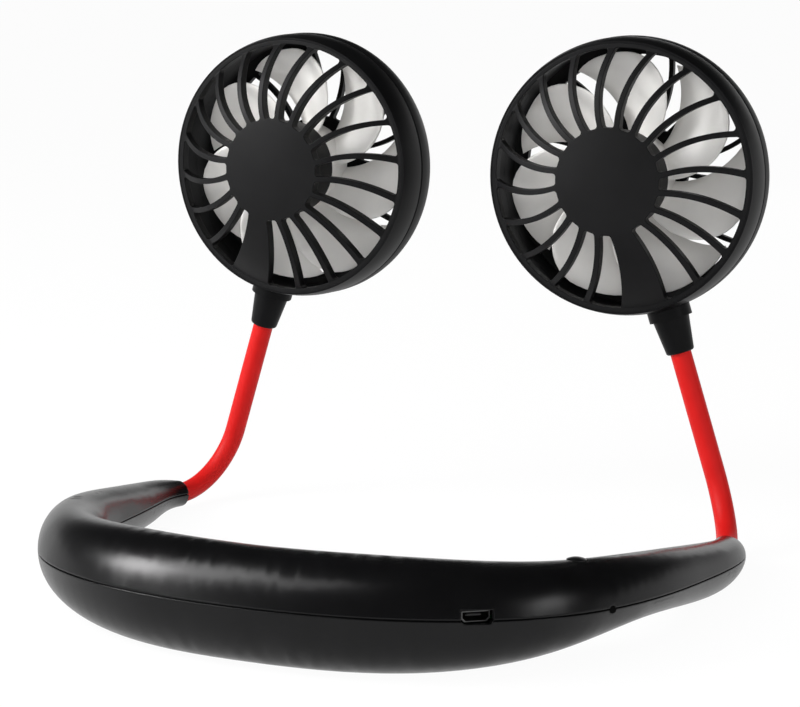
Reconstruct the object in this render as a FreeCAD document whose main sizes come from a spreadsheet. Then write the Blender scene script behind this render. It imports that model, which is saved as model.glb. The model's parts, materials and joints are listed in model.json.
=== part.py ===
"""Neck fan: a horseshoe neck band with two fan heads on bendable necks.

Frame: +X to the wearer's right, -Y out of the closed back of the band, +Z up,
the floor at z = 0 and the origin under the middle of the whole part. Millimetres and degrees.
"""
import FreeCAD, Part
import math
import os
import re

import Sketcher

doc = FreeCAD.newDocument("neck_fan")
sheet = doc.addObject("Spreadsheet::Sheet", "sizes")

# Driving sizes, in the order in which the part is put together.
SIZES = [
    # The band's place: its parting seam slopes down towards the arm ends.
    ("band_shift", 1.8), ("band_lift", 9.27), ("seam_slope", 5.42),
    # Band sections from the middle of the back to the arm ends: place in plan, heading of the
    # centre line, half width, and height above and below the seam.
    ("spine_along", -73.1), ("spine_half_width", 12.0), ("spine_rise", 13.6), ("spine_drop", 16.4),
    ("nape_out", 39.2), ("nape_along", -66.8), ("nape_turn", -70.2),
    ("nape_half_width", 12.1), ("nape_rise", 13.4), ("nape_drop", 15.9),
    ("corner_out", 68.6), ("corner_along", -48.5), ("corner_turn", -44.0),
    ("corner_half_width", 10.4), ("corner_rise", 11.9), ("corner_drop", 11.7),
    ("flank_out", 83.0), ("flank_along", -24.6), ("flank_turn", -17.9),
    ("flank_half_width", 7.9), ("flank_rise", 11.0), ("flank_drop", 6.7),
    ("arm_out", 89.4), ("arm_along", 6.9), ("arm_turn", -9.0),
    ("arm_half_width", 7.4), ("arm_rise", 8.1), ("arm_drop", 7.6),
    ("lobe_out", 92.1), ("lobe_along", 29.0), ("lobe_turn", 1.5),
    ("lobe_half_width", 6.3), ("lobe_rise", 5.9), ("lobe_drop", 6.8),
    ("tip_out", 89.4), ("tip_along", 44.6), ("tip_turn", 10.5), ("tip_radius", 4.1),
    ("band_wall", 1.8), ("seam_groove", 0.4), ("seam_groove_depth", 0.35), ("overrun", 5.0),
    # Neck: leaves the arm end level with the seam, turns up in an elbow and leans inwards.
    ("exit_reach", 20.8), ("elbow_angle", 90.1), ("elbow_radius", 20.3), ("neck_lean", 17.6),
    ("neck_rise", 56.2), ("sleeve_radius", 3.1), ("sleeve_bore", 1.6), ("wire_radius", 1.3),
    ("tip_insert", 10.0), ("wire_insert", 14.0), ("collar_insert", 8.0), ("seat_gap", 0.05),
    ("first_joint", 22.0), ("joint_pitch", 8.8), ("joint_gap", 0.8),
    # Collar between neck and fan head.
    ("collar_length", 13.4), ("collar_end_radius", 4.2), ("collar_end_round", 0.8),
    ("collar_top_radius", 5.4), ("shoulder_radius", 6.4), ("shoulder_depth", 3.0),
    ("collar_sink", 1.6),
    # Fan head, measured from its front rim: radii about the fan axis, depths behind the rim.
    ("head_twist", 9.4), ("ring_mid", 12.0),
    ("ring_bore", 38.6), ("ring_front_radius", 39.3), ("ring_radius", 40.4),
    ("ring_bulge", 30.0), ("parting_depth", 10.4), ("parting_groove", 0.5),
    ("head_depth", 22.6), ("rear_face_radius", 36.4), ("rear_bulge", 13.0),
    # Front grille: domed, with spiral fins and one wide arm.
    ("slots", 20), ("rim_wall", 1.2), ("rim_depth", 3.0), ("dome_rise", 11.5), ("dome_bulge", 45.0),
    ("fin_depth", 3.2), ("disc_radius", 14.8), ("disc_crown", 1.2),
    ("disc_wall", 2.4), ("cup_bore", 12.3), ("cup_wall", 1.9), ("cup_depth", 2.0),
    ("fin_root", 15.3), ("fin_width", 1.6), ("fin_curl", 33.0), ("fin_curl_reach", 39.2),
    ("fin_curl_turn", -55.9), ("fin_fillet", 0.9),
    # Rear grille: flat, with thinner spokes that curl the other way.
    ("spoke_depth", 2.2), ("spoke_root", 14.6), ("spoke_rim", 35.0), ("spoke_width", 1.3),
    ("spoke_curl", 33.0), ("spoke_curl_reach", 39.2), ("spoke_curl_turn", 55.9),
    ("spoke_fillet", 0.7), ("rear_chamfer", 2.4),
    # Motor and impeller.
    ("motor_end", 2.6), ("boss_radius", 3.0), ("boss_length", 1.0), ("shaft_radius", 1.0),
    ("shaft_gap", 0.05), ("shaft_seat", 4.5),
    ("blades", 7), ("impeller_radius", 36.0), ("impeller_front", 4.6), ("impeller_back", 15.3),
    ("blade_corner", 4.5), ("blade_wall", 1.2), ("blade_root", 12.4), ("blade_reach", 38.0),
    ("root_chord", 11.0), ("root_pitch", 42.0), ("root_camber", 14.0),
    ("edge_chord", 26.0), ("edge_pitch", 23.0), ("edge_camber", 45.0),
    ("hub_radius", 13.0), ("hub_wall", 1.3), ("hub_face", 2.6), ("hub_round", 1.5),
    ("hub_boss", 2.8), ("hub_boss_length", 6.0),
    # Cell, board, socket, switch and button inside the band.
    ("cell_radius", 7.0), ("cell_length", 50.0), ("cell_out", -4.0), ("cell_along", -71.0),
    ("cell_gap", 0.1), ("rib_wall", 1.6), ("rib_place", 17.0),
    ("board_out", 64.2), ("board_along", -49.7), ("board_turn", 42.5), ("board_length", 44.0),
    ("board_width", 9.0), ("board_wall", 1.2), ("board_boss", 2.6), ("board_drop", 0.3),
    ("socket_width", 7.5), ("socket_height", 2.8), ("socket_length", 8.0), ("socket_chamfer", 0.8),
    ("socket_wall", 0.3), ("socket_place", -16.7), ("socket_front", 10.4), ("socket_gap", 0.3),
    ("switch_side", 6.0), ("switch_height", 3.4), ("plunger_radius", 1.7), ("plunger_height", 0.9),
    ("button_place", 14.1), ("button_radius", 2.6), ("button_proud", 1.1), ("button_gap", 0.3),
    ("button_flange", 0.6), ("button_flange_wall", 0.8), ("button_seat", 2.2), ("button_stem", 1.5),
    ("button_travel", 0.6), ("button_crown", 6.0),
    ("lamp_radius", 0.9), ("lamp_place", 21.0), ("lamp_front", 8.0), ("lamp_gap", 0.05),
    ("pin_radius", 0.9), ("pin_proud", 0.6), ("pin_place", 6.5), ("pin_gap", 0.1),
]
for row, (alias, size) in enumerate(SIZES, start=1):
    sheet.set(f"A{row}", alias)
    sheet.set(f"B{row}", str(size))
    sheet.setAlias(f"B{row}", alias)
doc.recompute()
ALIASES = {alias for alias, size in SIZES}


def sized(text):
    """The expression with each alias read from the sheet."""
    return re.sub(r"[A-Za-z_]+", lambda word: f"sizes.{word[0]}" if word[0] in ALIASES else word[0], text)


def value(text):
    """The expression's present value."""
    return float(sheet.evalExpression(text))


def add(kind, name, **bound):
    """A document object whose properties follow the sheet."""
    thing = doc.addObject(kind, name)
    for prop, text in bound.items():
        thing.setExpression(prop, sized(text))
    return thing


def turned(axis, angle):
    """A rotation about X, Y or Z as an expression."""
    vector = {"X": "vector(1; 0; 0)", "Y": "vector(0; 1; 0)", "Z": "vector(0; 0; 1)"}[axis]
    return f"rotation({vector}; {angle})"


def moved(across="0", along="0", up="0", turn="rotation(vector(0; 0; 1); 0)"):
    """A placement as an expression."""
    return f"placement(vector({across}; {along}; {up}); {turn})"


def cut(name, base, *tools):
    """The base less each tool."""
    for number, tool in enumerate(tools, start=1):
        result = doc.addObject("Part::Cut", name if number == len(tools) else f"{name}_cut_{number}")
        result.Base = base
        result.Tool = tool
        base = result
    return base


def fuse(name, *shapes):
    """All the shapes as one solid."""
    result = doc.addObject("Part::MultiFuse", name)
    result.Shapes = list(shapes)
    result.Refine = True
    return result


def common(name, base, tool):
    """What two shapes share."""
    result = doc.addObject("Part::Common", name)
    result.Base = base
    result.Tool = tool
    return result


def pin(sketch, geometry, end, across, up):
    """Hold one end of a sketch edge at a place that follows the sheet."""
    for kind, axis, text in (("DistanceX", -2, across), ("DistanceY", -1, up)):
        if text == "0":
            sketch.addConstraint(Sketcher.Constraint("PointOnObject", geometry, end, axis))
            continue
        held = Sketcher.Constraint(kind, -1, 1, geometry, end, value(text))
        sketch.setExpression(f"Constraints[{sketch.addConstraint(held)}]", sized(text))


def arc_through(first, last, radius, side):
    """The arc from first to last whose centre lies on the given side of the way."""
    chord = last - first
    middle = (first + last) / 2
    normal = FreeCAD.Vector(-chord.y, chord.x, 0) * (1 if side == "left" else -1)
    normal.normalize()
    centre = middle + normal * math.sqrt(radius**2 - (chord.Length / 2)**2)
    angles = [math.atan2(spot.y - centre.y, spot.x - centre.x) for spot in (first, last)]
    if side == "right":
        angles.reverse()
    return Part.ArcOfCircle(Part.Circle(centre, FreeCAD.Vector(0, 0, 1), radius), *angles)


def outline(sketch, corners, closed=True):
    """Edges through the corners (across, up); a corner that adds a radius and a side starts an arc."""
    spots = [FreeCAD.Vector(value(corner[0]), value(corner[1]), 0) for corner in corners]
    last_edge = len(corners) if closed else len(corners) - 1
    ends = []
    for number, corner in enumerate(corners[:last_edge]):
        first = spots[number]
        last = spots[(number + 1) % len(spots)]
        if len(corner) == 2:
            ends.append((sketch.addGeometry(Part.LineSegment(first, last)), 1, 2))
            continue
        radius, side = corner[2:]
        edge = sketch.addGeometry(arc_through(first, last, value(radius), side))
        held = sketch.addConstraint(Sketcher.Constraint("Radius", edge, value(radius)))
        sketch.setExpression(f"Constraints[{held}]", sized(radius))
        ends.append((edge, 1, 2) if side == "left" else (edge, 2, 1))
    for number in range(0 if closed else 1, len(ends)):
        before = ends[number - 1]
        after = ends[number]
        sketch.addConstraint(Sketcher.Constraint("Coincident", before[0], before[2], after[0], after[1]))
    for (edge, start, stop), corner in zip(ends, corners):
        pin(sketch, edge, start, corner[0], corner[1])
    if not closed:
        pin(sketch, ends[-1][0], ends[-1][2], corners[-1][0], corners[-1][1])


def plane(body, role):
    """One of the body's own origin planes or axes."""
    return next(feature for feature in body.Origin.OriginFeatures if feature.Role == role)


def body_sketch(body, name, role):
    """An empty sketch on one of the body's origin planes."""
    sketch = body.newObject("Sketcher::SketchObject", name)
    sketch.AttachmentSupport = (plane(body, role), [""])
    sketch.MapMode = "FlatFace"
    return sketch


def revolved(name, corners):
    """A body turned about its Z axis from an outline of (radius, height)."""
    body = doc.addObject("PartDesign::Body", name)
    sketch = body_sketch(body, f"{name}_profile", "XZ_Plane")
    outline(sketch, corners)
    turn = body.newObject("PartDesign::Revolution", f"{name}_turn")
    turn.Profile = sketch
    turn.ReferenceAxis = (sketch, ["V_Axis"])
    doc.recompute()
    return body


def patterned(body, feature, count, angle):
    """Copies of a feature about the body's Z axis."""
    pattern = body.newObject("PartDesign::PolarPattern", f"{feature.Name}_ring")
    pattern.Originals = [feature]
    pattern.Axis = (plane(body, "Z_Axis"), [""])
    pattern.setExpression("Angle", sized(angle))
    pattern.setExpression("Occurrences", sized(count))
    body.Tip = pattern
    return pattern


# Frames. The band's frame lies in its seam; each neck and head frame follows from the arm end.
BAND = moved(along="band_shift", up="band_lift", turn=turned("X", "-seam_slope"))
SIDES = {"left": "-1", "right": "1"}


def elbow_frame(side):
    """Origin at the corner of the neck's bend, X to the arm end, Y up in the plane of the bend."""
    heading = turned("Z", f"-90 + {SIDES[side]} * tip_turn")
    lean = turned("X", f"90 + {SIDES[side]} * neck_lean")
    arm_end = moved(f"{SIDES[side]} * tip_out", "tip_along", "0", f"{heading} * {lean}")
    return f"{BAND} * {arm_end} * {moved('-exit_reach')}"


def neck_frame(side, height):
    """Z up the neck from a height above the bend's corner, Y towards the front of the head."""
    climb = moved(turn=turned("Z", "elbow_angle"))
    upright = f"rotation(vector(1; 0; 1); 180) * {turned('Z', f'{SIDES[side]} * -1 * head_twist')}"
    return f"{elbow_frame(side)} * {climb} * {moved(height, turn=upright)}"


# From the collar's foot to the middle of the head's front rim: Z out of the front, Y up.
HEAD_ON_COLLAR = " * ".join([
    moved(up="collar_length + ring_radius", turn=f"{turned('X', '-90')} * {turned('Z', '180')}"),
    moved(up="ring_mid"),
])


def head_frame(side):
    """Z out of the front of the head, Y up its middle, origin in the front rim's plane."""
    return f"{neck_frame(side, 'neck_rise')} * {HEAD_ON_COLLAR}"


# Band: two lofts of upright ovals along the horseshoe, the inner one hollowing the outer one.
STATIONS = ["tip", "lobe", "arm", "flank", "corner", "nape", "spine", "nape", "corner", "flank",
            "arm", "lobe", "tip"]
MIDDLE = STATIONS.index("spine")


def oval(name, number, wall):
    """One upright oval section of the band."""
    station = STATIONS[number]
    rise, drop, half_width = (f"{station}_{size}" for size in ("rise", "drop", "half_width"))
    if station == "tip":
        rise = drop = half_width = "tip_radius"
    out, heading = f"{station}_out", f"{station}_turn"
    if number == MIDDLE:
        out, heading = "0", "-90"
    elif number < MIDDLE:
        out, heading = f"-{out}", f"-180 - {heading}"
    half_height = f"({rise} + {drop}) / 2"
    long_axis = turned("Z", f"{half_width} > {half_height} ? 90 : 0")
    across = f"{turned('Z', heading)} * rotation(vector(1; 1; 1); -120) * {long_axis}"
    place = moved(out, f"{station}_along", f"({rise} - {drop}) / 2", across)
    return add("Part::Ellipse", f"{name}_{number}", MajorRadius=f"max({half_height}; {half_width}) - {wall}",
               MinorRadius=f"min({half_height}; {half_width}) - {wall}", Placement=f"{BAND} * {place}")


def band_loft(name, wall, numbers):
    """A solid through the ovals."""
    loft = doc.addObject("Part::Loft", name)
    loft.Sections = [oval(f"{name}_oval", number, wall) for number in numbers]
    loft.Solid = True
    return loft


def block(name, frame, size, corner):
    """A box with its low corner at a place in a frame."""
    return add("Part::Box", name, Length=size[0], Width=size[1], Height=size[2],
               Placement=f"{frame} * {moved(*corner)}")


def rod(name, frame, radius, length, start, turn="rotation(vector(0; 0; 1); 0)"):
    """A cylinder that starts at a place in a frame."""
    return add("Part::Cylinder", name, Radius=radius, Height=length,
               Placement=f"{frame} * {moved(*start, turn)}")


def padded(name, corners, length):
    """A body drawn out along -Y from an outline of (across, up)."""
    body = doc.addObject("PartDesign::Body", name)
    sketch = body_sketch(body, f"{name}_outline", "XZ_Plane")
    outline(sketch, corners)
    pad = body.newObject("PartDesign::Pad", f"{name}_pad")
    pad.Profile = sketch
    pad.setExpression("Length", sized(length))
    doc.recompute()
    return body


def socket_outline(inset):
    """The socket's mouth: a box with its lower corners cut off."""
    half = f"(socket_width / 2 - {inset})"
    return [(f"-{half} + socket_chamfer", inset), (f"{half} - socket_chamfer", inset),
            (half, f"{inset} + socket_chamfer"), (half, f"socket_height - {inset}"),
            (f"-{half}", f"socket_height - {inset}"), (f"-{half}", f"{inset} + socket_chamfer")]


def linked(name, source, place):
    """Another standing of a solid, at its own place."""
    link = doc.addObject("App::Link", name)
    link.LinkedObject = source
    link.setExpression("Placement", sized(place))
    return link


# Board frame: X along the board towards the arm, -Y out through the band's outer wall.
BOARD = f"{BAND} * {moved('board_out', 'board_along', '-board_drop', turned('Z', 'board_turn'))}"
CELL_START = ("cell_out - cell_length / 2", "cell_along", "0")
PIN_PLACES = {1: "-pin_place", 2: "pin_place"}
OUTWARDS = turned("X", "90")
ALONG_X = turned("Y", "90")
INTO_ARM = "rotation(vector(1; 1; 1); 120)"
HALF_SPAN = "(lobe_out + spine_half_width + overrun)"

band_outside = band_loft("band_outside", "0", range(len(STATIONS)))
band_inside = band_loft("band_inside", "band_wall", range(1, len(STATIONS) - 1))
band_skin = cut("band_skin", band_outside, band_inside)
above_seam = block("above_seam", BAND, [f"2 * {HALF_SPAN}", f"2 * {HALF_SPAN}", "spine_rise + overrun"],
                   [f"-{HALF_SPAN}", f"-{HALF_SPAN}", "0"])
band_core = band_loft("band_core", "seam_groove_depth", range(len(STATIONS)))
seam_slab = block("seam_slab", BAND, [f"2 * {HALF_SPAN}", f"2 * {HALF_SPAN}", "seam_groove"],
                  [f"-{HALF_SPAN}", f"-{HALF_SPAN}", "0"])
seam_ring = cut("seam_ring", seam_slab, band_core)
floor_block = block("floor_block", moved(), [f"2 * {HALF_SPAN}", f"2 * {HALF_SPAN}", "spine_drop"],
                    [f"-{HALF_SPAN}", f"-{HALF_SPAN}", "-spine_drop"])

# Holes for the necks, the charging socket, the button and the lamp, and the groove along the seam, cut before
# the band is split there.
neck_hole = revolved("neck_hole", [
    ("0", "-overrun"),
    ("sleeve_radius + seat_gap", "-overrun"),
    ("sleeve_radius + seat_gap", "tip_insert"),
    ("sleeve_bore", "tip_insert"),
    ("sleeve_bore", "wire_insert + overrun"),
    ("0", "wire_insert + overrun"),
])
neck_holes = [
    linked(f"{side}_neck_hole", neck_hole, f"{elbow_frame(side)} * {moved('exit_reach', turn=INTO_ARM)}")
    for side in SIDES
]
SOCKET = f"{BOARD} * {moved('socket_place', 'socket_length - socket_front')}"
socket_hole = linked("socket_hole", padded("socket_opening", socket_outline("(-socket_gap)"),
                                           "socket_length + overrun"), SOCKET)
button_hole = rod("button_hole", BOARD, "button_radius + button_gap", "2 * corner_rise", ["button_place", "0", "0"])
lamp_hole = rod("lamp_hole", BOARD, "lamp_radius + lamp_gap", "lamp_front + overrun",
                ["lamp_place", "0", "board_drop"], OUTWARDS)
band_holed = cut("band_holed", band_skin, socket_hole, button_hole, lamp_hole, *neck_holes, seam_ring)
upper_shell = common("band_upper_shell", band_holed, above_seam)

# Lower shell, with two cradle ribs for the cell, two bosses and pins for the board, and flats to stand on.
cradles = [
    block(f"cradle_{number}", BAND, ["rib_wall", "4 * cell_radius", "spine_drop"],
          [f"cell_out + {sign} * rib_place - rib_wall / 2", "cell_along - 2 * cell_radius", "-spine_drop"])
    for number, sign in ((1, "-1"), (2, "1"))
]
bosses = [
    rod(f"board_boss_{number}", BOARD, "board_boss", "corner_drop + overrun",
        [place, "0", "-board_wall - corner_drop - overrun"])
    for number, place in PIN_PLACES.items()
]
pins = [
    rod(f"board_pin_{number}", BOARD, "pin_radius", "2 * board_wall + pin_proud", [place, "0", "-2 * board_wall"])
    for number, place in PIN_PLACES.items()
]
cell_space = rod("cell_space", BAND, "cell_radius + cell_gap", "cell_length", CELL_START, ALONG_X)
rib_forms = common("rib_forms", fuse("rib_blocks", *cradles, *bosses), band_outside)
ribs = cut("ribs", rib_forms, floor_block, cell_space)
below_seam = cut("below_seam", band_holed, above_seam, floor_block)
lower_shell = fuse("band_lower_shell", below_seam, ribs, *pins)

# Cell, board on its pins, switch, button and indicator lamp.
cell = rod("battery_cell", BAND, "cell_radius", "cell_length", CELL_START, ALONG_X)
board_blank = block("board_blank", BOARD, ["board_length", "board_width", "board_wall"],
                    ["-board_length / 2", "-board_width / 2", "-board_wall"])
board_holes = [
    rod(f"board_hole_{number}", BOARD, "pin_radius + pin_gap", "board_wall", [place, "0", "-board_wall"])
    for number, place in PIN_PLACES.items()
]
board = cut("control_board", board_blank, *board_holes)
switch = fuse(
    "tact_switch",
    block("switch_case", BOARD, ["switch_side", "switch_side", "switch_height"],
          ["button_place - switch_side / 2", "-switch_side / 2", "0"]),
    rod("switch_plunger", BOARD, "plunger_radius", "switch_height + plunger_height", ["button_place", "0", "0"]))
lamp = rod("indicator_lamp", BOARD, "lamp_radius", "lamp_front - board_width / 2",
           ["lamp_place", "-board_width / 2", "board_drop"], OUTWARDS)

BUTTON_TOP = "(corner_rise + flank_rise) / 2 + button_proud"
FLANGE_TOP = "(corner_rise + flank_rise) / 2 - band_wall - button_seat"
button_cap = revolved("button_cap", [
    ("0", "switch_height + plunger_height + button_travel"),
    ("button_stem", "switch_height + plunger_height + button_travel"),
    ("button_stem", f"{FLANGE_TOP} - button_flange_wall"),
    ("button_radius + button_flange", f"{FLANGE_TOP} - button_flange_wall"),
    ("button_radius + button_flange", FLANGE_TOP),
    ("button_radius", FLANGE_TOP),
    ("button_radius", f"{BUTTON_TOP} - button_crown + sqrt(button_crown ^ 2 - button_radius ^ 2)",
     "button_crown", "left"),
    ("0", BUTTON_TOP),
])


socket_block = padded("socket_block", socket_outline("0"), "socket_length")
socket_cavity = padded("socket_cavity", socket_outline("socket_wall"), "socket_length")
socket_cavity.setExpression("Placement.Base.y", sized("-socket_wall"))
socket = cut("socket_shell", socket_block, socket_cavity)


# Necks: a sleeve and a wire along one path in the elbow frame, and wire links between the joints.
def neck_path(name, insert, top):
    """From inside the arm end, round the elbow and up the neck."""
    bend = "(elbow_radius / tan(elbow_angle / 2))"
    path = doc.addObject("Sketcher::SketchObject", name)
    outline(path, [
        (f"exit_reach + {insert}", "0"),
        (bend, "0", "elbow_radius", "right"),
        (f"{bend} * cos(elbow_angle)", f"{bend} * sin(elbow_angle)"),
        (f"({top}) * cos(elbow_angle)", f"({top}) * sin(elbow_angle)"),
    ], closed=False)
    return path


def swept(name, path, radius, insert):
    """A round rod along a neck path."""
    start = moved(f"exit_reach + {insert}", turn=turned("Y", "-90"))
    ring = add("Part::Circle", f"{name}_ring", Radius=radius, Placement=start)
    sweep = doc.addObject("Part::Sweep", name)
    sweep.Sections = [ring]
    sweep.Spine = (path, ["Edge1", "Edge2", "Edge3"])
    sweep.Solid = True
    return sweep


sleeve_path = neck_path("sleeve_path", "tip_insert", "neck_rise + collar_insert")
sleeve = cut("sleeve", swept("sleeve_rod", sleeve_path, "sleeve_radius", "tip_insert"),
             swept("sleeve_core", sleeve_path, "sleeve_bore", "tip_insert"))
wire_path = neck_path("wire_path", "wire_insert", "first_joint - joint_gap / 2")
wire_base = swept("wire_base", wire_path, "wire_radius", "wire_insert")
wire_link = add("Part::Cylinder", "wire_link", Radius="wire_radius", Height="joint_pitch - joint_gap")
wire_top = add("Part::Cylinder", "wire_top", Radius="wire_radius",
               Height="neck_rise + collar_insert - first_joint - 3 * joint_pitch - joint_gap / 2")

# Fan head: ring, domed front grille, flat rear grille.
ring = revolved("ring", [
    ("ring_bore", "-parting_depth"),
    ("ring_radius - parting_groove", "-parting_depth"),
    ("ring_radius", "-parting_depth + parting_groove", "ring_bulge", "left"),
    ("ring_front_radius", "0"),
    ("ring_bore", "0"),
])
DISC_BULGE = "(disc_radius ^ 2 + disc_crown ^ 2) / (2 * disc_crown)"
front = revolved("front", [
    ("0", "dome_rise + disc_crown", DISC_BULGE, "right"),
    ("disc_radius", "dome_rise", "dome_bulge", "right"),
    ("ring_bore - rim_wall", "0"),
    ("ring_bore", "0"),
    ("ring_bore", "-rim_depth"),
    ("ring_bore - rim_wall", "-rim_depth", "dome_bulge", "left"),
    ("cup_bore + cup_wall", "dome_rise - fin_depth"),
    ("cup_bore + cup_wall", "-cup_depth"),
    ("cup_bore", "-cup_depth"),
    ("cup_bore", "dome_rise + disc_crown - disc_wall"),
    ("0", "dome_rise + disc_crown - disc_wall"),
])
rear = revolved("rear", [
    ("0", "-head_depth"),
    ("rear_face_radius", "-head_depth", "rear_bulge", "left"),
    ("ring_radius", "-parting_depth - parting_groove"),
    ("ring_radius - parting_groove", "-parting_depth"),
    ("ring_bore", "-parting_depth"),
    ("ring_bore", "-head_depth + spoke_depth + rear_chamfer"),
    ("ring_bore - rear_chamfer", "-head_depth + spoke_depth"),
    ("0", "-head_depth + spoke_depth"),
])


def crossing(first, first_radius, second, second_radius, near):
    """Where two circles cross, on the side of a nearby spot."""
    between = second - first
    along = (between.Length**2 + first_radius**2 - second_radius**2) / (2 * between.Length)
    aside = math.sqrt(first_radius**2 - along**2)
    unit = between / between.Length
    normal = FreeCAD.Vector(-unit.y, unit.x, 0)
    spots = [first + unit * along + normal * aside * sign for sign in (1, -1)]
    return min(spots, key=lambda spot: spot.distanceToPoint(near))


def grille_gap(body, name, prefix, rim, lead):
    """A sketch of one gap between two curled ribs, with rounded corners."""
    curl_side = 1 if value(f"{prefix}_curl_turn") < 0 else -1
    sides = [
        (f"{lead} + {prefix}_curl_turn", f"{prefix}_curl + {curl_side} * {prefix}_width / 2", curl_side),
        (f"{lead} + {prefix}_curl_turn + 360 / slots", f"{prefix}_curl - {curl_side} * {prefix}_width / 2", -curl_side),
    ]
    origin = FreeCAD.Vector(0, 0, 0)
    fillet = value(f"{prefix}_fillet")
    circles = []
    for text, outwards in ((f"{prefix}_root", 1), (rim, -1)):
        circles.append((origin, value(text), outwards, ("0", "0"), text))
    for angle, radius, outwards in sides:
        place = (f"{prefix}_curl_reach * cos({angle})", f"{prefix}_curl_reach * sin({angle})")
        circles.append((FreeCAD.Vector(value(place[0]), value(place[1]), 0), value(radius), outwards, place, radius))
    hub, edge, first, second = circles
    loop = [(hub, second), (second, edge), (edge, first), (first, hub)]
    turns = []
    for one, other in loop:
        limit = hub if hub in (one, other) else edge
        side = first if first in (one, other) else second
        step = 0 if side is first else 1
        angle = math.radians(value(f"{lead} + {step} * 360 / slots"))
        near = FreeCAD.Vector(math.cos(angle), math.sin(angle), 0) * limit[1]
        centre = crossing(one[0], one[1] + one[2] * fillet, other[0], other[1] + other[2] * fillet, near)
        touches = [circle[0] + (centre - circle[0]).normalize() * circle[1] for circle in (one, other)]
        turns.append((centre, touches))
    sketch = body_sketch(body, name, "XY_Plane")
    edges = []
    for number, (one, other) in enumerate(loop):
        centre, touches = turns[number]
        before = turns[number - 1][1][1]
        edges.append(short_arc(sketch, one[0], one[1], before, touches[0], one[4]))
        if one in (hub, edge):
            sketch.addConstraint(Sketcher.Constraint("Coincident", edges[-1][0], 3, -1, 1))
        else:
            pin(sketch, edges[-1][0], 3, *one[3])
        edges.append(short_arc(sketch, centre, fillet, *touches, f"{prefix}_fillet"))
    for before, after in zip(edges, edges[1:] + edges[:1]):
        sketch.addConstraint(Sketcher.Constraint("Tangent", before[0], before[2], after[0], after[1]))
    return sketch


def short_arc(sketch, centre, radius, first, last, size):
    """The short arc from first to last, with a radius that follows the sheet."""
    angles = [math.atan2(spot.y - centre.y, spot.x - centre.x) for spot in (first, last)]
    forwards = (first - centre).cross(last - centre).z > 0
    if not forwards:
        angles.reverse()
    edge = sketch.addGeometry(Part.ArcOfCircle(Part.Circle(centre, FreeCAD.Vector(0, 0, 1), radius), *angles))
    held = sketch.addConstraint(Sketcher.Constraint("Radius", edge, radius))
    sketch.setExpression(f"Constraints[{held}]", sized(size))
    return (edge, 1, 2) if forwards else (edge, 2, 1)


def pierce(body, sketch, count, angle):
    """Cut one gap through the body and repeat it round the axis."""
    pocket = body.newObject("PartDesign::Pocket", f"{sketch.Name}_cut")
    pocket.Profile = sketch
    pocket.Type = "ThroughAll"
    pocket.SideType = "Symmetric"
    doc.recompute()
    before = body.Shape.Volume
    patterned(body, pocket, count, angle)
    doc.recompute()
    assert body.Shape.Volume < before, f"{sketch.Name} cuts nothing"


pierce(front, grille_gap(front, "fin_gap", "fin", "ring_bore - rim_wall", "-90 + 180 / slots"),
       "slots - 1", "360 - 720 / slots")
pierce(rear, grille_gap(rear, "spoke_gap", "spoke", "spoke_rim", "-90"), "slots", "360")

collar_blank = revolved("collar_blank", [
    ("sleeve_radius + seat_gap", "0"),
    ("collar_end_radius - collar_end_round", "0", "collar_end_round", "left"),
    ("collar_end_radius", "collar_end_round"),
    ("collar_top_radius", "collar_length - shoulder_depth"),
    ("shoulder_radius", "collar_length - shoulder_depth"),
    ("shoulder_radius", "collar_length + collar_sink"),
    ("sleeve_bore", "collar_length + collar_sink"),
    ("sleeve_bore", "collar_insert"),
    ("sleeve_radius + seat_gap", "collar_insert"),
])


head_outside = revolved("head_outside", [
    ("0", "-head_depth"),
    ("rear_face_radius", "-head_depth", "rear_bulge", "left"),
    ("ring_radius", "-parting_depth - parting_groove"),
    ("ring_radius - parting_groove", "-parting_depth"),
    ("ring_radius", "-parting_depth + parting_groove", "ring_bulge", "left"),
    ("ring_front_radius", "0"),
    ("0", "0"),
])
collar = cut("collar", collar_blank, linked("head_on_collar", head_outside, HEAD_ON_COLLAR))

# Motor in the front grille's cup, and the impeller on its shaft.
CUP_FLOOR = "dome_rise + disc_crown - disc_wall"
motor = revolved("motor", [
    ("shaft_radius + shaft_gap", "-motor_end - boss_length"),
    ("boss_radius", "-motor_end - boss_length"),
    ("boss_radius", "-motor_end"),
    ("cup_bore - seat_gap", "-motor_end"),
    ("cup_bore - seat_gap", CUP_FLOOR),
    ("0", CUP_FLOOR),
    ("0", "shaft_seat + shaft_gap"),
    ("shaft_radius + shaft_gap", "shaft_seat + shaft_gap"),
])
shaft = add("Part::Cylinder", "shaft", Radius="shaft_radius", Height="shaft_seat + impeller_back")
impeller = revolved("impeller", [
    ("shaft_radius", "-impeller_back"),
    ("hub_radius - hub_round", "-impeller_back", "hub_round", "left"),
    ("hub_radius", "-impeller_back + hub_round"),
    ("hub_radius", "-impeller_front"),
    ("hub_radius - hub_wall", "-impeller_front"),
    ("hub_radius - hub_wall", "-impeller_back + hub_face"),
    ("hub_boss", "-impeller_back + hub_face"),
    ("hub_boss", "-impeller_back + hub_face + hub_boss_length"),
    ("shaft_radius", "-impeller_back + hub_face + hub_boss_length"),
])
BLADE_MIDDLE = "-(impeller_front + impeller_back) / 2"


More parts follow.
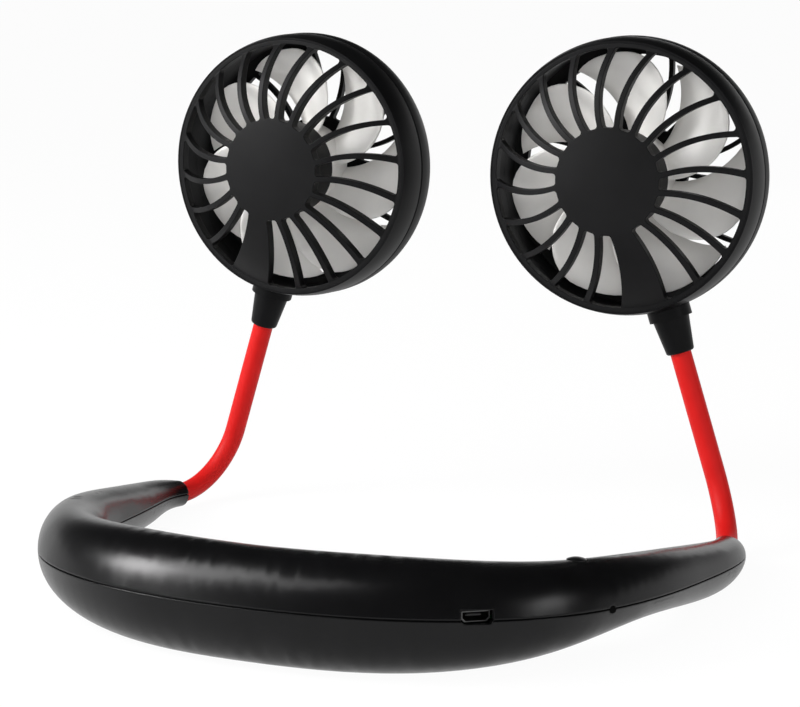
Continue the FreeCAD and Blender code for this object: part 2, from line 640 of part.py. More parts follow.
def blade_section(name, place, chord, pitch, camber):
    """A thin cambered section across the blade, at a distance from the axis."""
    sketch = body_sketch(impeller, name, "XZ_Plane")
    sketch.setExpression("AttachmentOffset.Base.z", sized(f"-{place}"))
    corners = []
    for end, face in (("-1", "-1"), ("1", "-1"), ("1", "1"), ("-1", "1")):
        across = f"{end} * {chord} / 2 * cos({pitch}) - {face} * blade_wall / 2 * sin({pitch})"
        up = f"{BLADE_MIDDLE} + {end} * {chord} / 2 * sin({pitch}) + {face} * blade_wall / 2 * cos({pitch})"
        corners.append((across, up))
    corners[0] += (f"{camber} - blade_wall / 2", "right")
    corners[2] += (f"{camber} + blade_wall / 2", "left")
    outline(sketch, corners)
    return sketch


root_section = blade_section("blade_root_section", "blade_root", "root_chord", "root_pitch", "root_camber")
edge_section = blade_section("blade_edge_section", "blade_reach", "edge_chord", "edge_pitch", "edge_camber")
blade = impeller.newObject("PartDesign::AdditiveLoft", "blade")
blade.Profile = root_section
blade.Sections = [edge_section]
doc.recompute()
patterned(impeller, blade, "blades", "360")

# The blades' outer corners are rounded together, as one groove about the axis.
trim = body_sketch(impeller, "blade_trim", "XZ_Plane")
outline(trim, [
    ("impeller_radius - blade_corner", "-impeller_back", "blade_corner", "left"),
    ("impeller_radius", "-impeller_back + blade_corner"),
    ("impeller_radius", "-impeller_front - blade_corner", "blade_corner", "left"),
    ("impeller_radius - blade_corner", "-impeller_front"),
    ("impeller_radius - blade_corner", "-impeller_front + overrun"),
    ("blade_reach + overrun", "-impeller_front + overrun"),
    ("blade_reach + overrun", "-impeller_back - overrun"),
    ("impeller_radius - blade_corner", "-impeller_back - overrun"),
])
groove = impeller.newObject("PartDesign::Groove", "blade_round")
groove.Profile = trim
groove.ReferenceAxis = (trim, ["V_Axis"])
doc.recompute()

# The sub-parts: those of the band stand where they were built, the others are placed on each side.
parts = {
    "band_upper_shell": upper_shell,
    "band_lower_shell": lower_shell,
    "battery_cell": cell,
    "control_board": board,
    "tact_switch": switch,
    "indicator_lamp": lamp,
    "usb_socket": linked("usb_socket", socket, SOCKET),
    "power_button": linked("power_button", button_cap, f"{BOARD} * {moved('button_place')}"),
}
JOINTS = [f"first_joint + {number} * joint_pitch" for number in range(4)]
for side in SIDES:
    head = head_frame(side)
    elbow = elbow_frame(side)
    pieces = {
        "neck_sleeve": (sleeve, elbow),
        "neck_wire_base": (wire_base, elbow),
        "neck_wire_top": (wire_top, neck_frame(side, f"{JOINTS[3]} + joint_gap / 2")),
        "neck_collar": (collar, neck_frame(side, "neck_rise")),
        "head_ring": (ring, head),
        "front_grille": (front, head),
        "rear_grille": (rear, head),
        "motor": (motor, head),
        "motor_shaft": (shaft, f"{head} * {moved(up='-impeller_back')}"),
        "impeller": (impeller, head),
    }
    for number in range(3):
        pieces[f"neck_wire_{number + 1}"] = (wire_link, neck_frame(side, f"{JOINTS[number]} + joint_gap / 2"))
    for name, (source, place) in pieces.items():
        parts[f"{side}_{name}"] = linked(f"{side}_{name}", source, place)
for label, thing in parts.items():
    thing.Label = label
doc.recompute()

failed = [thing.Label for thing in doc.Objects if set(thing.State) & {"Invalid", "Error"}]
shapes = {label: Part.getShape(thing) for label, thing in parts.items()}
for label, shape in shapes.items():
    if shape.isNull() or not shape.isValid() or len(shape.Solids) != 1:
        failed.append(label)
if failed:
    raise SystemExit(f"not built: {', '.join(failed)}")

os.makedirs("parts", exist_ok=True)
for label, shape in shapes.items():
    shape.exportStep(f"parts/{label}.step")

# The joints' places and axes, for the record.
for side in SIDES:
    head = sheet.evalExpression(head_frame(side))
    print(side, "head", head.Base, "front", head.Rotation.multVec(FreeCAD.Vector(0, 0, 1)),
          "across", head.Rotation.multVec(FreeCAD.Vector(1, 0, 0)))
    for joint in JOINTS:
        print(side, "neck joint", sheet.evalExpression(neck_frame(side, joint)).Base)
button_at = sheet.evalExpression(f"{BOARD} * {moved('button_place')}")
print("button", button_at.Base, button_at.Rotation.multVec(FreeCAD.Vector(0, 0, 1)))
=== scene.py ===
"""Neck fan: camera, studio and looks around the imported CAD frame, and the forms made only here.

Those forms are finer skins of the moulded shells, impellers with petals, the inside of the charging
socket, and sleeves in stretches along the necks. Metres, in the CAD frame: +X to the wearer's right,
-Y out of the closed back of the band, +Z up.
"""
import json
import math

import bmesh
import bpy
import numpy
from mathutils import Matrix, Vector


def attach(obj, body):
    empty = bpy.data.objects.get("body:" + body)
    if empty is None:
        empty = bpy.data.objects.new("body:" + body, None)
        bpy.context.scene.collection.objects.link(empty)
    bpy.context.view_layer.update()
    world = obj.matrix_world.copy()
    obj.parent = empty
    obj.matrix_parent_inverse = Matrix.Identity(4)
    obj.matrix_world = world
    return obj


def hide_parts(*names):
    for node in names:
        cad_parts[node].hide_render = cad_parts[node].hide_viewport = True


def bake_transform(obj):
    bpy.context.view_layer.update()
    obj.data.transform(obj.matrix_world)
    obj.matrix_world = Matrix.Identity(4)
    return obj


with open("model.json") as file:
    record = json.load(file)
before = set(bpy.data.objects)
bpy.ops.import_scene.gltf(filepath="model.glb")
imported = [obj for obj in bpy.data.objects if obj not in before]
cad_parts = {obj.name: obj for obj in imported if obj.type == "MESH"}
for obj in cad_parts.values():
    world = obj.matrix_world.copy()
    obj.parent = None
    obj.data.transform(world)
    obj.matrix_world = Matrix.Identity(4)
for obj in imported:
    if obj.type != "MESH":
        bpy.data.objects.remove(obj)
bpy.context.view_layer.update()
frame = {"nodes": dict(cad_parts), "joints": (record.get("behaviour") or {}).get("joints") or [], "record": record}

MM = 0.001
SIDES = {"left": -1, "right": 1}
JOINTS = {joint["name"]: joint for joint in frame["joints"]}


def add_object(name, data):
    """A new object in the scene."""
    made = bpy.data.objects.new(name, data)
    bpy.context.scene.collection.objects.link(made)
    return made


# Camera: sensor and lens in millimetres, azimuth 0 looking along +Y
CAMERA_TARGET = Vector((-1.1, 23.9, 60.7)) * MM
CAMERA_DISTANCE = 651.3 * MM
CAMERA_AZIMUTH = math.radians(24.5)
CAMERA_ELEVATION = math.radians(11.8)
CAMERA_ROLL = math.radians(-1.25)
CLIP_START = 10 * MM
SENSOR_WIDTH = 36.0
LENS = 101.9


def add_camera():
    """The photograph's camera."""
    data = bpy.data.cameras.new("camera")
    data.sensor_fit = "HORIZONTAL"
    data.sensor_width = SENSOR_WIDTH
    data.lens = LENS
    data.clip_start = CLIP_START
    camera = add_object("camera", data)
    level = math.cos(CAMERA_ELEVATION)
    away = Vector((
        math.sin(CAMERA_AZIMUTH) * level,
        -math.cos(CAMERA_AZIMUTH) * level,
        math.sin(CAMERA_ELEVATION),
    ))
    facing = away.to_track_quat("Z", "Y").to_matrix() @ Matrix.Rotation(CAMERA_ROLL, 3, "Z")
    camera.matrix_world = Matrix.Translation(CAMERA_TARGET + away * CAMERA_DISTANCE) @ facing.to_4x4()
    bpy.context.scene.camera = camera


# Studio: a white floor, low white walls and a dim ceiling, with soft lamps for the streaks on the plastic
WHITE = (1.0, 1.0, 1.0, 1.0)
WORLD_LIGHT = 0.4
WALL_TOP = math.sin(math.radians(8))
WALL_LIGHT = 1.0
CEILING_START = math.sin(math.radians(15))
CEILING_LIGHT = 0.03
FLOOR_SIZE = 12.0
FLOOR_COLOUR = (0.92, 0.92, 0.92, 1.0)
FLOOR_GLOW = 0.955
LAMP_TARGET = Vector((0.0, -70.0, 25.0)) * MM
LAMP_DISTANCE = 0.9
SOFTBOXES = {
    # name: (direction from the target, width, height, brightness, seen in the gloss)
    "left_window": ((-0.78, -0.33, 0.53), 0.28, 0.25, 33.0, True),
    "left_ceiling": ((-0.55, -0.36, 0.75), 0.35, 0.22, 11.0, True),
    "middle_ceiling": ((-0.25, -0.48, 0.84), 0.36, 0.22, 4.5, True),
    "right_window": ((0.9, -0.13, 0.42), 0.2, 0.14, 10.0, True),
    "front_left": ((-0.6, -0.78, 0.2), 0.4, 0.3, 2.2, True),
    "back_window": ((0.0, 0.97, 0.2), 0.4, 0.15, 1.2, True),
    "front_fill": ((0.42, -0.85, 0.35), 1.2, 1.0, 1.0, False),
}


def seen_directly(tree):
    """One where a camera, glossy or transmission ray arrives."""
    path = tree.nodes.new("ShaderNodeLightPath")
    seen = path.outputs["Is Camera Ray"]
    for kind in ("Is Glossy Ray", "Is Transmission Ray"):
        either = tree.nodes.new("ShaderNodeMath")
        either.operation = "MAXIMUM"
        tree.links.new(seen, either.inputs[0])
        tree.links.new(path.outputs[kind], either.inputs[1])
        seen = either.outputs[0]
    return seen


def add_world():
    """White walls and a dim ceiling where they are seen, and a plain level of light elsewhere."""
    world = bpy.data.worlds.new("studio")
    world.use_nodes = True
    bpy.context.scene.world = world
    tree = world.node_tree
    tree.nodes.clear()
    light = tree.nodes.new("ShaderNodeBackground")
    light.inputs["Color"].default_value = WHITE
    light.inputs["Strength"].default_value = WORLD_LIGHT
    room = tree.nodes.new("ShaderNodeBackground")
    room.inputs["Color"].default_value = WHITE
    mixed = tree.nodes.new("ShaderNodeMixShader")
    output = tree.nodes.new("ShaderNodeOutputWorld")
    direction = tree.nodes.new("ShaderNodeTexCoord")
    height = tree.nodes.new("ShaderNodeSeparateXYZ")
    fade = tree.nodes.new("ShaderNodeMapRange")
    fade.interpolation_type = "SMOOTHSTEP"
    fade.inputs["From Min"].default_value = WALL_TOP
    fade.inputs["From Max"].default_value = CEILING_START
    fade.inputs["To Min"].default_value = WALL_LIGHT
    fade.inputs["To Max"].default_value = CEILING_LIGHT
    tree.links.new(direction.outputs["Generated"], height.inputs["Vector"])
    tree.links.new(height.outputs["Z"], fade.inputs["Value"])
    tree.links.new(fade.outputs["Result"], room.inputs["Strength"])
    tree.links.new(seen_directly(tree), mixed.inputs["Fac"])
    tree.links.new(light.outputs[0], mixed.inputs[1])
    tree.links.new(room.outputs[0], mixed.inputs[2])
    tree.links.new(mixed.outputs[0], output.inputs["Surface"])


def floor_paint():
    """White paint whose glow leaves only part of the shadow."""
    made = bpy.data.materials.new("floor")
    made.use_nodes = True
    tree = made.node_tree
    tree.nodes.clear()
    paint = tree.nodes.new("ShaderNodeBsdfDiffuse")
    paint.inputs["Color"].default_value = FLOOR_COLOUR
    glow = tree.nodes.new("ShaderNodeEmission")
    share = tree.nodes.new("ShaderNodeMath")
    share.operation = "MULTIPLY"
    share.inputs[1].default_value = FLOOR_GLOW
    mixed = tree.nodes.new("ShaderNodeMixShader")
    output = tree.nodes.new("ShaderNodeOutputMaterial")
    tree.links.new(seen_directly(tree), share.inputs[0])
    tree.links.new(share.outputs[0], mixed.inputs["Fac"])
    tree.links.new(paint.outputs[0], mixed.inputs[1])
    tree.links.new(glow.outputs[0], mixed.inputs[2])
    tree.links.new(mixed.outputs[0], output.inputs["Surface"])
    return made


def add_floor():
    """The square floor under the band."""
    mesh = bpy.data.meshes.new("floor")
    half = FLOOR_SIZE / 2
    corners = [(-half, -half, 0), (half, -half, 0), (half, half, 0), (-half, half, 0)]
    mesh.from_pydata(corners, [], [(0, 1, 2, 3)])
    mesh.materials.append(floor_paint())
    floor = add_object("floor", mesh)


def add_softboxes():
    """Soft lamps turned to the target, where a brightness of one is white."""
    for name, (direction, width, height, brightness, in_gloss) in SOFTBOXES.items():
        data = bpy.data.lights.new(name, "AREA")
        data.shape = "RECTANGLE"
        data.size = width
        data.size_y = height
        data.energy = brightness * math.pi * width * height
        lamp = add_object(name, data)
        away = Vector(direction).normalized()
        turn = away.to_track_quat("Z", "Y").to_matrix().to_4x4()
        lamp.matrix_world = Matrix.Translation(LAMP_TARGET + away * LAMP_DISTANCE) @ turn
        lamp.visible_camera = False
        lamp.visible_glossy = in_gloss


# Materials: a scale is in waves per metre, and a pattern counts between its low and its high
PATTERN_LOW = 0.3
PATTERN_HIGH = 0.7
CLOUD_SCALE = 90.0
CLOUD_DETAIL = 3.0
GLOSS_SCALE = 160.0
GLOSS_DETAIL = 4.0
GRAIN_DETAIL = 3.0
GRAIN_STRENGTH = 0.05
GRAIN_DEPTH = 0.01 * MM
STREAK_SCALE = 1200.0
STREAK_DETAIL = 4.0
STREAK_STRENGTH = 0.2
STREAK_DEPTH = 0.01 * MM
MOULDED_EASING = 0.2 * MM
METAL_EASING = 0.1 * MM
BEVEL_SAMPLES = 8
EVEN = (1.0, 1.0, 1.0)
UPRIGHT_STREAKS = (1.0, 1.0, 0.05)
SIDEWAYS_STREAKS = (0.2, 1.0, 1.0)


def new_material(name, **constants):
    """A material, its node tree and its shader, with the shader's constant values set."""
    made = bpy.data.materials.new(name)
    made.use_nodes = True
    tree = made.node_tree
    shader = tree.nodes["Principled BSDF"]
    for socket, number in constants.items():
        shader.inputs[socket.replace("_", " ")].default_value = number
    return made, tree, shader


def noise(tree, scale, detail, stretch=EVEN):
    """A noise pattern in the part's own frame."""
    coordinates = tree.nodes.new("ShaderNodeTexCoord")
    mapping = tree.nodes.new("ShaderNodeMapping")
    mapping.inputs["Scale"].default_value = stretch
    pattern = tree.nodes.new("ShaderNodeTexNoise")
    pattern.inputs["Scale"].default_value = scale
    pattern.inputs["Detail"].default_value = detail
    tree.links.new(coordinates.outputs["Object"], mapping.inputs["Vector"])
    tree.links.new(mapping.outputs["Vector"], pattern.inputs["Vector"])
    return pattern.outputs["Fac"]


def spread(tree, pattern, low, high):
    """The pattern's middle stretch, spread from low to high."""
    ranged = tree.nodes.new("ShaderNodeMapRange")
    ranged.inputs["From Min"].default_value = PATTERN_LOW
    ranged.inputs["From Max"].default_value = PATTERN_HIGH
    ranged.inputs["To Min"].default_value = low
    ranged.inputs["To Max"].default_value = high
    tree.links.new(pattern, ranged.inputs["Value"])
    return ranged.outputs["Result"]


def two_tone(tree, pattern, first, second):
    """A colour between two, by the pattern."""
    ramp = tree.nodes.new("ShaderNodeValToRGB")
    start, end = ramp.color_ramp.elements
    start.position = PATTERN_LOW
    start.color = (*first, 1.0)
    end.position = PATTERN_HIGH
    end.color = (*second, 1.0)
    tree.links.new(pattern, ramp.inputs["Fac"])
    return ramp.outputs["Color"]


def bump(tree, shader, pattern, strength, depth, easing):
    """A relief on the shader's normal over softened edges, depth and easing in metres."""
    softened = tree.nodes.new("ShaderNodeBevel")
    softened.samples = BEVEL_SAMPLES
    softened.inputs["Radius"].default_value = easing
    relief = tree.nodes.new("ShaderNodeBump")
    relief.inputs["Strength"].default_value = strength
    relief.inputs["Distance"].default_value = depth
    tree.links.new(softened.outputs["Normal"], relief.inputs["Normal"])
    tree.links.new(pattern, relief.inputs["Height"])
    tree.links.new(relief.outputs["Normal"], shader.inputs["Normal"])


def moulded(name, dark, light, smooth, rough, grain, easing=MOULDED_EASING, **constants):
    """Moulded plastic or rubber: cloudy tone, uneven gloss, softened edges and a fine grain."""
    made, tree, shader = new_material(name, **constants)
    clouds = noise(tree, CLOUD_SCALE, CLOUD_DETAIL)
    patches = noise(tree, GLOSS_SCALE, GLOSS_DETAIL)
    tree.links.new(two_tone(tree, clouds, dark, light), shader.inputs["Base Color"])
    tree.links.new(spread(tree, patches, smooth, rough), shader.inputs["Roughness"])
    bump(tree, shader, noise(tree, grain, GRAIN_DETAIL), GRAIN_STRENGTH, GRAIN_DEPTH, easing)
    return made


def metal(name, dark, light, smooth, rough, stretch):
    """Drawn or ground metal: fine streaks in tone and gloss."""
    made, tree, shader = new_material(name, Metallic=1.0)
    streaks = noise(tree, STREAK_SCALE, STREAK_DETAIL, stretch)
    tree.links.new(two_tone(tree, streaks, dark, light), shader.inputs["Base Color"])
    tree.links.new(spread(tree, streaks, smooth, rough), shader.inputs["Roughness"])
    bump(tree, shader, streaks, STREAK_STRENGTH, STREAK_DEPTH, METAL_EASING)
    return made


MATERIALS = {
    "band": moulded(
        "band_plastic", dark=(0.0022, 0.0022, 0.0024), light=(0.0034, 0.0034, 0.0037),
        smooth=0.262, rough=0.27, grain=3200.0, easing=0.5 * MM, Specular_IOR_Level=0.2),
    "head": moulded(
        "head_plastic", dark=(0.003, 0.003, 0.0033), light=(0.0046, 0.0046, 0.005),
        smooth=0.41, rough=0.43, grain=3200.0, Specular_IOR_Level=0.08),
    "grille": moulded(
        "grille_plastic", dark=(0.003, 0.003, 0.0033), light=(0.0046, 0.0046, 0.005),
        smooth=0.48, rough=0.51, grain=2800.0, easing=0.4 * MM, Specular_IOR_Level=0.14),
    "button": moulded(
        "button_plastic", dark=(0.0026, 0.0026, 0.0028), light=(0.004, 0.004, 0.0043),
        smooth=0.32, rough=0.34, grain=3600.0, Specular_IOR_Level=0.2),
    "switch": moulded(
        "switch_plastic", dark=(0.02, 0.02, 0.02), light=(0.03, 0.03, 0.03),
        smooth=0.4, rough=0.5, grain=2400.0),
    "sleeve": moulded(
        "sleeve_silicone", dark=(0.48, 0.007, 0.006), light=(0.54, 0.009, 0.008),
        smooth=0.42, rough=0.52, grain=2200.0, Specular_IOR_Level=0.12),
    "impeller": moulded(
        "impeller_plastic", dark=(0.76, 0.745, 0.72), light=(0.83, 0.815, 0.79),
        smooth=0.32, rough=0.4, grain=1800.0),
    "board": moulded(
        "board_lacquer", dark=(0.01, 0.09, 0.03), light=(0.015, 0.12, 0.04),
        smooth=0.3, rough=0.4, grain=2400.0),
    "lamp": moulded(
        "lamp_lens", dark=(0.001, 0.001, 0.001), light=(0.002, 0.002, 0.002),
        smooth=0.5, rough=0.58, grain=2000.0, Specular_IOR_Level=0.03),
    "cell": moulded(
        "cell_wrap", dark=(0.04, 0.08, 0.2), light=(0.05, 0.1, 0.24),
        smooth=0.3, rough=0.36, grain=1500.0),
    # The socket's steel is painted far darker than steel is: painted shade for the inside of its mouth.
    "socket": metal(
        "socket_steel_painted_shade", dark=(0.07, 0.07, 0.07), light=(0.11, 0.11, 0.11),
        smooth=0.3, rough=0.42, stretch=SIDEWAYS_STREAKS),
    "motor": metal(
        "motor_can", dark=(0.5, 0.5, 0.52), light=(0.6, 0.6, 0.62),
        smooth=0.28, rough=0.4, stretch=UPRIGHT_STREAKS),
    "shaft": metal(
        "shaft_steel", dark=(0.52, 0.52, 0.53), light=(0.64, 0.64, 0.65),
        smooth=0.18, rough=0.26, stretch=UPRIGHT_STREAKS),
    "wire": metal(
        "wire_steel", dark=(0.4, 0.4, 0.41), light=(0.52, 0.52, 0.53),
        smooth=0.3, rough=0.42, stretch=UPRIGHT_STREAKS),
    "contact": metal(
        "contact_gold", dark=(0.75, 0.52, 0.2), light=(0.85, 0.6, 0.26),
        smooth=0.22, rough=0.32, stretch=UPRIGHT_STREAKS),
}


def dress_nodes():
    """Each CAD node takes the material of its slot."""
    for entry in frame["record"]["subparts"]:
        node = frame["nodes"][entry["node"]]
        for holder in node.material_slots:
            holder.material = MATERIALS[entry["material_slot"]]


# Pieces built here are smooth, but for edges over the crease angle
CREASE_ANGLE = math.radians(40)


def add_piece(name, made, material, body=None):
    """An object from a finished bmesh, riding on a body where one is given."""
    mesh = bpy.data.meshes.new(name)
    bmesh.ops.recalc_face_normals(made, faces=made.faces)
    made.to_mesh(mesh)
    made.free()
    mesh.materials.append(MATERIALS[material])
    mesh.shade_smooth()
    mesh.set_sharp_from_angle(angle=CREASE_ANGLE)
    piece = add_object(name, mesh)
    if body:
        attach(piece, body)
    return piece


# Moulded shells: the CAD surfaces again, cut finer, with their shading evened out between the sharp edges
SHARP_ANGLE = math.radians(28)
WELD = 0.001 * MM
CUT_ROUNDS = 2
SHELLS = {
    # node: (slot, body, longest edge, passes)
    "band_upper_shell": ("band", "band", 1.0 * MM, 120),
    "band_lower_shell": ("band", "band", 1.0 * MM, 120),
    "left_front_grille": ("grille", "left_head", 2.0 * MM, 8),
    "right_front_grille": ("grille", "right_head", 2.0 * MM, 8),
}


def marked_surface(node):
    """A node's surface, welded, with its sharp edges marked."""
    made = bmesh.new()
    made.from_mesh(frame["nodes"][node].data)
    bmesh.ops.remove_doubles(made, verts=made.verts, dist=WELD)
    made.normal_update()
    for face in made.faces:
        face.smooth = True
    for edge in made.edges:
        edge.smooth = edge.calc_face_angle(math.pi) < SHARP_ANGLE
    return made


def cut_finer(made, longest):
    """Halves the edges that are too long in a mesh of triangles, in a few rounds."""
    for _ in range(CUT_ROUNDS):
        edges = [edge for edge in made.edges if edge.calc_length() > longest]
        bmesh.ops.subdivide_edges(made, edges=edges, cuts=1)
        bmesh.ops.triangulate(made, faces=[face for face in made.faces if len(face.verts) > 3])


def evened_normals(made, passes):
    """Vertex normals, averaged where no sharp edge is, and which vertices have none."""
    made.normal_update()
    made.verts.index_update()
    normals = numpy.array([vert.normal for vert in made.verts])
    free = numpy.array([all(edge.smooth for edge in vert.link_edges) for vert in made.verts])
    pairs = numpy.array([[vert.index for vert in edge.verts] for edge in made.edges])
    first, second = pairs[free[pairs].all(axis=1)].T
    for _ in range(passes):
        total = normals.copy()
        for axis in range(3):
            total[:, axis] += numpy.bincount(first, normals[second, axis], len(normals))
            total[:, axis] += numpy.bincount(second, normals[first, axis], len(normals))
        normals = total / numpy.linalg.norm(total, axis=1)[:, None]
    return normals, free


def add_shells():
    """Each skin takes the place of its node."""
    for node, (slot, body, longest, passes) in SHELLS.items():
        made = marked_surface(node)
        cut_finer(made, longest)
        normals, free = evened_normals(made, passes)
        mesh = bpy.data.meshes.new(f"{node}_skin")
        made.to_mesh(mesh)
        made.free()
        corners = []
        for loop in mesh.loops:
            if free[loop.vertex_index]:
                corners.append(normals[loop.vertex_index])
            else:
                corners.append(mesh.corner_normals[loop.index].vector)
        mesh.normals_split_custom_set(corners)
        mesh.materials.clear()
        mesh.materials.append(MATERIALS[slot])
        skin = add_object(f"{node}_skin", mesh)
        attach(skin, body)
        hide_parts(node)


# Impellers: a cupped hub with swept petals, with heights along the spindle towards the front
BLADES = 7
BLADE_ROOT = 12.4 * MM
BLADE_REACH = 36.0 * MM
BLADE_MIDDLE = -9.9 * MM
BLADE_RISE = 4.3 * MM
BLADE_CAMBER = 1.2 * MM
BLADE_WALL = 1.2 * MM
BLADE_STARTS = {"left": math.radians(13), "right": math.radians(17)}
BLADE_SWEEP = math.radians(-18)
SWEEP_POWER = 1.4
ROOT_HALF_WIDTH = math.radians(22.5)
EDGE_HALF_WIDTH = math.radians(28.5)
LEADING_ROUND = 9.5 * MM
LEADING_POWER = 2
TRAILING_ROUND = 1.5 * MM
TRAILING_POWER = 4
RIM_THINNING = 0.9
RIM_POWER = 8
BLADE_STEPS = 16
SLOPE_STEP = 0.01
HUB_RADIUS = 13.0 * MM
HUB_WALL = 1.3 * MM
HUB_FLOOR = 2.6 * MM
HUB_CLOSED_END = -15.3 * MM
HUB_OPEN_END = -4.6 * MM
HUB_ROUND = 1.5 * MM
HUB_ROUND_STEPS = 3
HUB_LIP = 0.3 * MM
HUB_SIDES = 72
BOSS_RADIUS = 2.8 * MM
BOSS_END = -6.7 * MM
BORE_RADIUS = 1.0 * MM


class Blade:
    """One petal, clockwise from the top: along goes from root to edge, across from trailing to leading."""

    def __init__(self, start):
        self.start = start

    def middle(self, along, across):
        """A place on the petal's middle surface."""
        if across > 0:
            corner = LEADING_ROUND * across**LEADING_POWER
        else:
            corner = TRAILING_ROUND * across**TRAILING_POWER
        reach = BLADE_ROOT + (BLADE_REACH - corner - BLADE_ROOT) * along
        half_width = ROOT_HALF_WIDTH + (EDGE_HALF_WIDTH - ROOT_HALF_WIDTH) * along
        angle = self.start + BLADE_SWEEP * max(0.0, along) ** SWEEP_POWER + half_width * across
        height = BLADE_MIDDLE + BLADE_RISE * across + BLADE_CAMBER * (1 - across**2) * along
        return Vector((math.sin(angle) * reach, math.cos(angle) * reach, height))

    def face(self, along, across, side):
        """A place on one of the petal's two faces, which draw together at the rim."""
        lengthwise = self.middle(along + SLOPE_STEP, across) - self.middle(along - SLOPE_STEP, across)
        crosswise = self.middle(along, across + SLOPE_STEP) - self.middle(along, across - SLOPE_STEP)
        rim = max(abs(across), 2 * along - 1)
        wall = BLADE_WALL * math.sqrt(max(0.0, 1 - RIM_THINNING * rim**RIM_POWER))
        return self.middle(along, across) + crosswise.cross(lengthwise).normalized() * side * wall / 2


def add_blade(made, start):
    """Both faces of one petal, joined along its rim."""
    blade = Blade(start)
    shares = [step / BLADE_STEPS for step in range(BLADE_STEPS + 1)]
    rims = []
    for side in (-1, 1):
        grid = [[made.verts.new(blade.face(along, 2 * across - 1, side)) for across in shares]
                for along in shares]
        for row, following in zip(grid, grid[1:]):
            for column in range(BLADE_STEPS):
                made.faces.new((row[column], row[column + 1], following[column + 1], following[column]))
        leading_side = [row[-1] for row in grid[1:]]
        trailing_side = [row[0] for row in grid[-2:0:-1]]
        rims.append(grid[0] + leading_side + grid[-1][-2::-1] + trailing_side)
    lower, upper = rims
    for place, (below, above) in enumerate(zip(lower, upper)):
        made.faces.new((lower[place - 1], below, above, upper[place - 1]))


def hub_profile():
    """Distances from the axis and heights along it: up the outside of the cup and down its inside."""
    inside = HUB_RADIUS - HUB_WALL
    floor = HUB_CLOSED_END + HUB_FLOOR
    rounded = []
    for step in range(HUB_ROUND_STEPS + 1):
        angle = math.pi / 2 * step / HUB_ROUND_STEPS
        rounded.append((HUB_RADIUS - HUB_ROUND * (1 - math.sin(angle)),
                        HUB_CLOSED_END + HUB_ROUND * (1 - math.cos(angle))))
    return [
        (BORE_RADIUS, HUB_CLOSED_END),
        *rounded,
        (HUB_RADIUS, HUB_OPEN_END - HUB_LIP),
        (HUB_RADIUS - HUB_LIP, HUB_OPEN_END),
        (inside + HUB_LIP, HUB_OPEN_END),
        (inside, HUB_OPEN_END - HUB_LIP),
        (inside, floor),
        (BOSS_RADIUS, floor),
        (BOSS_RADIUS, BOSS_END),
        (BORE_RADIUS, BOSS_END),
    ]


def add_hub(made):
    """The hub's profile turned about the axis."""
    profile = hub_profile()
    rings = []
    for step in range(HUB_SIDES):
        angle = 2 * math.pi * step / HUB_SIDES
        rings.append([made.verts.new((math.cos(angle) * out, math.sin(angle) * out, height))
                      for out, height in profile])
    for step, ring in enumerate(rings):
        before = rings[step - 1]
        for place in range(len(profile)):
            made.faces.new((before[place], ring[place], ring[place - 1], before[place - 1]))


def add_impellers():
    """One impeller for each head, in its spindle's frame and within the space of the CAD one."""
    for side, start in BLADE_STARTS.items():
        spindle = JOINTS[f"{side}_fan_spin"]
        front = Vector(spindle["axis"]).normalized()
        across = Vector((0.0, 0.0, 1.0)).cross(front).normalized()
        turn = Matrix((across, front.cross(across), front)).transposed()
        made = bmesh.new()
        add_hub(made)
        for number in range(BLADES):
            add_blade(made, start + 2 * math.pi * number / BLADES)
        made.transform(Matrix.Translation(spindle["pos_m"]) @ turn.to_4x4())
        piece = add_piece(f"{side}_impeller_petals", made, "impeller", f"{side}_rotor")
        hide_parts(f"{side}_impeller")


# Charging socket: a tongue with five contacts inside the metal shell
TONGUE = Vector((4.2, 4.6, 0.6)) * MM
TONGUE_INSET = 1.6 * MM
TONGUE_CORNER = 0.15 * MM
CONTACTS = 5
CONTACT = Vector((0.4, 3.6, 0.12)) * MM
CONTACT_CORNER = CONTACT.z / 4
CONTACT_PITCH = 0.65 * MM
CORNER_SEGMENTS = 2


def eased_block(made, place, size, corner):
    """A block with eased edges, centred at a place."""
    block = bmesh.ops.create_cube(made, size=1.0, matrix=Matrix.LocRotScale(place, None, size))
    edges = {edge for vert in block["verts"] for edge in vert.link_edges}
    bmesh.ops.bevel(made, geom=list(edges), offset=corner, segments=CORNER_SEGMENTS, affect="EDGES")


def mouth_frame():
    """The frame of the socket's mouth: Y into the band, Z up."""
    mouth = next(mount for mount in frame["record"]["mounts"] if mount["name"] == "charging_socket")
    inwards = -Vector(mouth["axis"]).normalized()
    up = -Vector(JOINTS["button_press"]["axis"]).normalized()
    turn = Matrix((inwards.cross(up), inwards, up)).transposed()
    return Matrix.Translation(mouth["pos_m"]) @ turn.to_4x4()


def add_socket_inside():
    """The tongue, and the contacts on its underside."""
    middle = Vector((0.0, TONGUE_INSET + TONGUE.y / 2, 0.0))
    tongue = bmesh.new()
    eased_block(tongue, middle, TONGUE, TONGUE_CORNER)
    tongue.transform(mouth_frame())
    add_piece("socket_tongue", tongue, "switch", "band")
    contacts = bmesh.new()
    for number in range(CONTACTS):
        aside = (number - (CONTACTS - 1) / 2) * CONTACT_PITCH
        eased_block(contacts, middle + Vector((aside, 0.0, -TONGUE.z / 2)), CONTACT, CONTACT_CORNER)
    contacts.transform(mouth_frame())
    add_piece("socket_contacts", contacts, "contact", "band")


# Necks: each silicone sleeve follows the wire, in one stretch for each joint
NECK_CORNER = Vector((85.61, 66.56, 3.125)) * MM
NECK_TO_ARM = Vector((0.18224, -0.97886, 0.09287)).normalized()
CORNER_TO_ARM_END = 30.8 * MM
CORNER_TO_TOP_END = 64.2 * MM
BEND_RADIUS = 20.3 * MM
SLEEVE_RADIUS = 3.1 * MM
RING_STEP = 0.8 * MM
RING_SIDES = 40


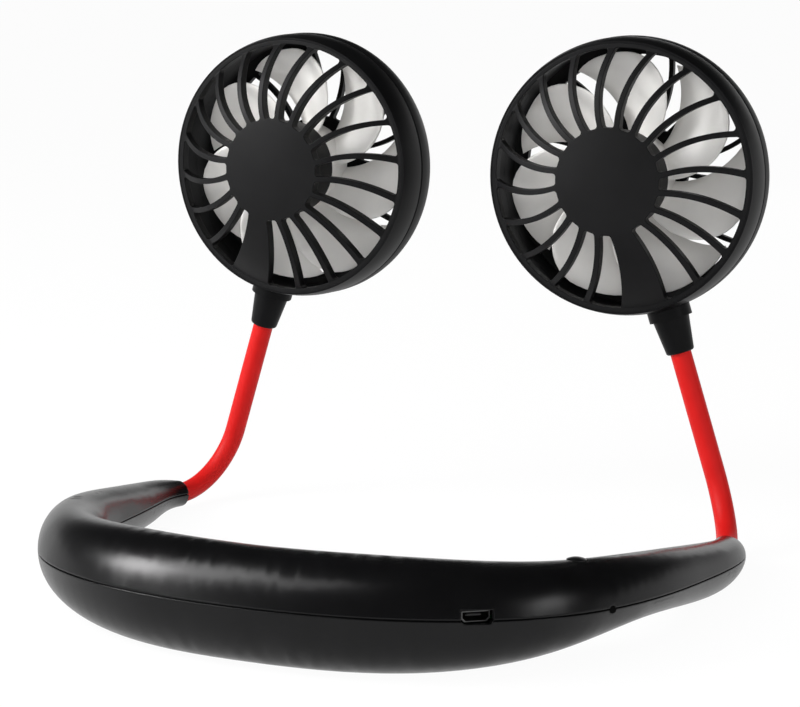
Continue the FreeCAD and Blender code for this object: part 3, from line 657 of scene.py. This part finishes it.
def mirrored(place, sign):
    """The place on one side of the band."""
    return Vector((place.x * sign, place.y, place.z))


class NeckRoute:
    """The sleeve's middle line: two straight lines that would meet at a corner, and a bend between them."""

    def __init__(self, side):
        sign = SIDES[side]
        self.joints = [Vector(JOINTS[f"{side}_neck_{name}"]["pos_m"])
                       for name in ("pitch", "sway", "pitch_upper", "sway_upper")]
        self.corner = mirrored(NECK_CORNER, sign)
        self.to_arm = mirrored(NECK_TO_ARM, sign)
        self.up = (self.joints[-1] - self.joints[0]).normalized()
        half_turn = self.to_arm.angle(self.up) / 2
        to_centre = (self.to_arm + self.up).normalized()
        self.centre = self.corner + to_centre * BEND_RADIUS / math.sin(half_turn)
        self.tangent = BEND_RADIUS / math.tan(half_turn)
        self.arc = BEND_RADIUS * (math.pi - 2 * half_turn)
        self.straight = CORNER_TO_ARM_END - self.tangent
        self.length = self.straight + self.arc + CORNER_TO_TOP_END - self.tangent

    def spot(self, along):
        """Place and heading at a length along the route."""
        if along < self.straight:
            return self.corner + self.to_arm * (CORNER_TO_ARM_END - along), -self.to_arm
        if along > self.straight + self.arc:
            return self.corner + self.up * (self.tangent + along - self.straight - self.arc), self.up
        start = self.corner + self.to_arm * self.tangent - self.centre
        axis = start.cross(-self.to_arm).normalized()
        turn = Matrix.Rotation((along - self.straight) / BEND_RADIUS, 3, axis)
        return self.centre + turn @ start, turn @ -self.to_arm

    def along(self, joint):
        """The length along the route at a joint."""
        return self.straight + self.arc + (joint - self.corner).dot(self.up) - self.tangent


def tube(route, start, stop):
    """A round tube along part of a route."""
    made = bmesh.new()
    steps = math.ceil((stop - start) / RING_STEP)
    side_axis = route.up.cross(route.to_arm).normalized()
    rings = []
    for step in range(steps + 1):
        place, heading = route.spot(start + (stop - start) * step / steps)
        other_axis = heading.cross(side_axis)
        ring = []
        for corner in range(RING_SIDES):
            angle = 2 * math.pi * corner / RING_SIDES
            outwards = side_axis * math.cos(angle) + other_axis * math.sin(angle)
            ring.append(made.verts.new(place + outwards * SLEEVE_RADIUS))
        rings.append(ring)
    for ring, following in zip(rings, rings[1:]):
        for corner in range(RING_SIDES):
            made.faces.new((ring[corner - 1], ring[corner], following[corner], following[corner - 1]))
    return made


def add_sleeves():
    """Four stretches on each side, each across one joint of the neck."""
    for side in SIDES:
        route = NeckRoute(side)
        places = [route.along(joint) for joint in route.joints]
        middles = [(low + high) / 2 for low, high in zip(places, places[1:])]
        ends = [0.0, *middles, route.length]
        for number, place in enumerate(places):
            made = tube(route, ends[number], ends[number + 1])
            piece = add_piece(f"{side}_sleeve_{number + 1}", made, "sleeve")
            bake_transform(piece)
            if number == 0:
                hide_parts(f"{side}_neck_sleeve")


add_camera()
add_world()
add_floor()
add_softboxes()
dress_nodes()
add_shells()
add_impellers()
add_socket_inside()
add_sleeves()

bpy.context.scene.view_settings.view_transform = "Standard"
